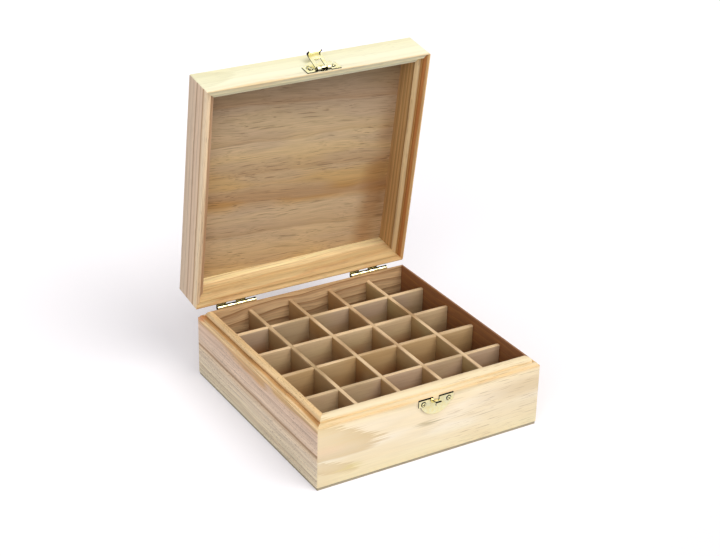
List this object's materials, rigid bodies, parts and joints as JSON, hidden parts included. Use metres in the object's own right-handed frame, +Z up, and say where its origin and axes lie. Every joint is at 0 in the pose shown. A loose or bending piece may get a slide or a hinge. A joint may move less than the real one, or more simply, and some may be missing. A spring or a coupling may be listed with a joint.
{
  "type": "compartment storage box",
  "caption": "Square hinged pine box with moulded rims, a grid of thin dividers making open square cells for small bottles, a deep lid and a brass hasp with a hooked catch plate.",
  "frame": {"origin": "centre of the underside of the bottom panel", "axes": "+X to the right and +Y to the back as one faces the hasp, +Z up"},
  "size_m": [0.184, 0.22, 0.2468],
  "materials": {
    "pine": "sanded bare pine",
    "lid_panel": "sanded bare panel",
    "bottom_plywood": "bare plywood",
    "divider_plywood": "bare plywood",
    "brass": "bright rolled sheet",
    "screw_brass": "bright"
  },
  "bodies": {
    "base": {"base_front_wall": "pine", "base_back_wall": "pine", "base_left_wall": "pine", "base_right_wall": "pine", "base_bottom_panel": "bottom_plywood", "divider_x_1": "divider_plywood", "divider_x_2": "divider_plywood", "divider_x_3": "divider_plywood", "divider_x_4": "divider_plywood", "divider_y_1": "divider_plywood", "divider_y_2": "divider_plywood", "divider_y_3": "divider_plywood", "divider_y_4": "divider_plywood", "hinge_left_base_leaf": "brass", "hinge_left_pin": "brass", "hinge_right_base_leaf": "brass", "hinge_right_pin": "brass", "hinge_base_screws": "screw_brass", "catch_plate": "brass", "catch_screws": "screw_brass"},
    "lid": {"lid_front_wall": "pine", "lid_back_wall": "pine", "lid_left_wall": "pine", "lid_right_wall": "pine", "lid_top_panel": "lid_panel", "hinge_left_lid_leaf": "brass", "hinge_right_lid_leaf": "brass", "hinge_lid_screws": "screw_brass", "latch_plate": "brass", "latch_pin": "brass", "latch_screws": "screw_brass"},
    "hasp": {"latch_hasp": "brass"}
  },
  "joints": [
    {"name": "lid_hinge", "type": "hinge", "parent": "base", "child": "lid", "pos_m": [0, 0.0962, 0.0496], "axis": [-1, 0, 0], "range_deg": [-81.3, 98.7]},
    {"name": "hasp_hinge", "type": "hinge", "parent": "lid", "child": "hasp", "pos_m": [0.0022, 0.06992, 0.23789], "axis": [-1, 0, 0], "range_deg": [-157, 0]}
  ]
}
